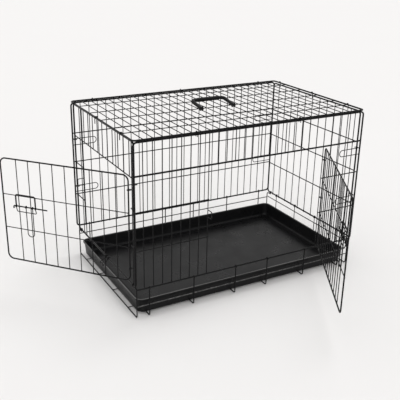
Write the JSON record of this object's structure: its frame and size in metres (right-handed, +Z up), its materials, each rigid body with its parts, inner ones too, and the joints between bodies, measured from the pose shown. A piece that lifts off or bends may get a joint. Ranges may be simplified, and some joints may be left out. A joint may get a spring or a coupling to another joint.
{
  "type": "wire dog crate",
  "caption": "Folding wire dog crate with a slide-out tray, a wide side door, an end door, slide-bolt latches, fold-down ends, a lifting lid and a carry handle.",
  "frame": {"origin": "on the floor, under the middle of the crate's footprint", "axes": "+X along the crate's length towards the fixed right end, -Y out of the wide front door, +Z up"},
  "size_m": [1.2292, 1.0057, 0.6384],
  "materials": {
    "black_wire": "semi-gloss black baked coating over steel wire",
    "tray_plastic": "lightly textured black moulded plastic",
    "handle_plastic": "satin black moulded plastic"
  },
  "bodies": {
    "base": {"floor_cross_wires": "black_wire", "floor_end_wires": "black_wire", "floor_long_wires": "black_wire", "floor_low_rails": "black_wire", "front_sill_eyes": "black_wire", "back_sill_eyes": "black_wire", "left_end_pivot_eyes": "black_wire", "right_end_pivot_eyes": "black_wire", "front_frame": "black_wire", "front_uprights": "black_wire", "front_cross_bars": "black_wire", "back_frame": "black_wire", "back_uprights": "black_wire", "back_cross_bars": "black_wire", "front_corner_loops": "black_wire", "front_corner_hooks": "black_wire", "back_corner_loops": "black_wire", "back_corner_hooks": "black_wire", "front_hinge_rings": "black_wire", "front_latch_keeper": "black_wire"},
    "lid": {"lid_frame": "black_wire", "lid_cross_wires": "black_wire", "lid_long_wires": "black_wire", "lid_front_clips": "black_wire", "lid_end_fingers": "black_wire", "lid_hinge_rings": "black_wire"},
    "carry_handle": {"carry_handle": "handle_plastic"},
    "left_end": {"left_end_frame": "black_wire", "left_end_uprights": "black_wire", "left_end_cross_bars": "black_wire", "end_hinge_rings": "black_wire", "end_latch_keeper": "black_wire"},
    "right_end": {"right_end_frame": "black_wire", "right_end_uprights": "black_wire", "right_end_cross_bars": "black_wire"},
    "front_door": {"front_door_frame": "black_wire", "front_door_uprights": "black_wire", "front_door_cross_bars": "black_wire", "front_latch_bracket": "black_wire"},
    "front_bolt": {"front_latch_bolt": "black_wire"},
    "front_pull": {"front_latch_pull": "black_wire"},
    "end_door": {"end_door_frame": "black_wire", "end_door_uprights": "black_wire", "end_door_cross_bars": "black_wire", "end_latch_bracket": "black_wire"},
    "end_bolt": {"end_latch_bolt": "black_wire"},
    "end_pull": {"end_latch_pull": "black_wire"},
    "tray": {"tray": "tray_plastic"},
    "tray_stop": {"tray_stop": "black_wire"}
  },
  "joints": [
    {"name": "lid_lift", "type": "hinge", "parent": "base", "child": "lid", "pos_m": [0, 0.281, 0.6127], "axis": [-1, 0, 0], "range_deg": [0, 100]},
    {"name": "carry_handle_swing", "type": "hinge", "parent": "lid", "child": "carry_handle", "pos_m": [0, -0.01, 0.6174], "axis": [1, 0, 0], "range_deg": [0, 160]},
    {"name": "left_end_fold", "type": "hinge", "parent": "base", "child": "left_end", "pos_m": [-0.4485, 0, 0.115], "axis": [0, -1, 0], "range_deg": [-90, 0]},
    {"name": "right_end_fold", "type": "hinge", "parent": "base", "child": "right_end", "pos_m": [0.4485, 0, 0.118], "axis": [0, -1, 0], "range_deg": [0, 88]},
    {"name": "front_door_swing", "type": "hinge", "parent": "base", "child": "front_door", "pos_m": [0.28617, -0.289, 0], "axis": [0, 0, 1], "range_deg": [-60, 100]},
    {"name": "front_bolt_slide", "type": "slide", "parent": "front_door", "child": "front_bolt", "axis": [-0.5, -0.866, 0], "range_m": [0, 0.033]},
    {"name": "front_pull_turn", "type": "hinge", "parent": "front_bolt", "child": "front_pull", "pos_m": [0.29136, -0.292, 0.337], "axis": [-0.5, -0.866, 0], "range_deg": [0, 100]},
    {"name": "end_door_swing", "type": "hinge", "parent": "left_end", "child": "end_door", "pos_m": [-0.4565, -0.2442, 0], "axis": [0, 0, 1], "range_deg": [-41.5, 120]},
    {"name": "end_bolt_slide", "type": "slide", "parent": "end_door", "child": "end_bolt", "axis": [-0.6626, 0.749, 0], "range_m": [0, 0.033]},
    {"name": "end_pull_turn", "type": "hinge", "parent": "end_bolt", "child": "end_pull", "pos_m": [-0.46099, -0.24818, 0.336], "axis": [-0.6626, 0.749, 0], "range_deg": [0, 100]},
    {"name": "tray_slide", "type": "slide", "parent": "base", "child": "tray", "axis": [-1, 0, 0], "range_m": [0, 0.87]},
    {"name": "tray_stop_swing", "type": "hinge", "parent": "left_end", "child": "tray_stop", "pos_m": [-0.4485, -0.0228, 0.115], "axis": [0, 1, 0], "range_deg": [-50, 70]}
  ]
}
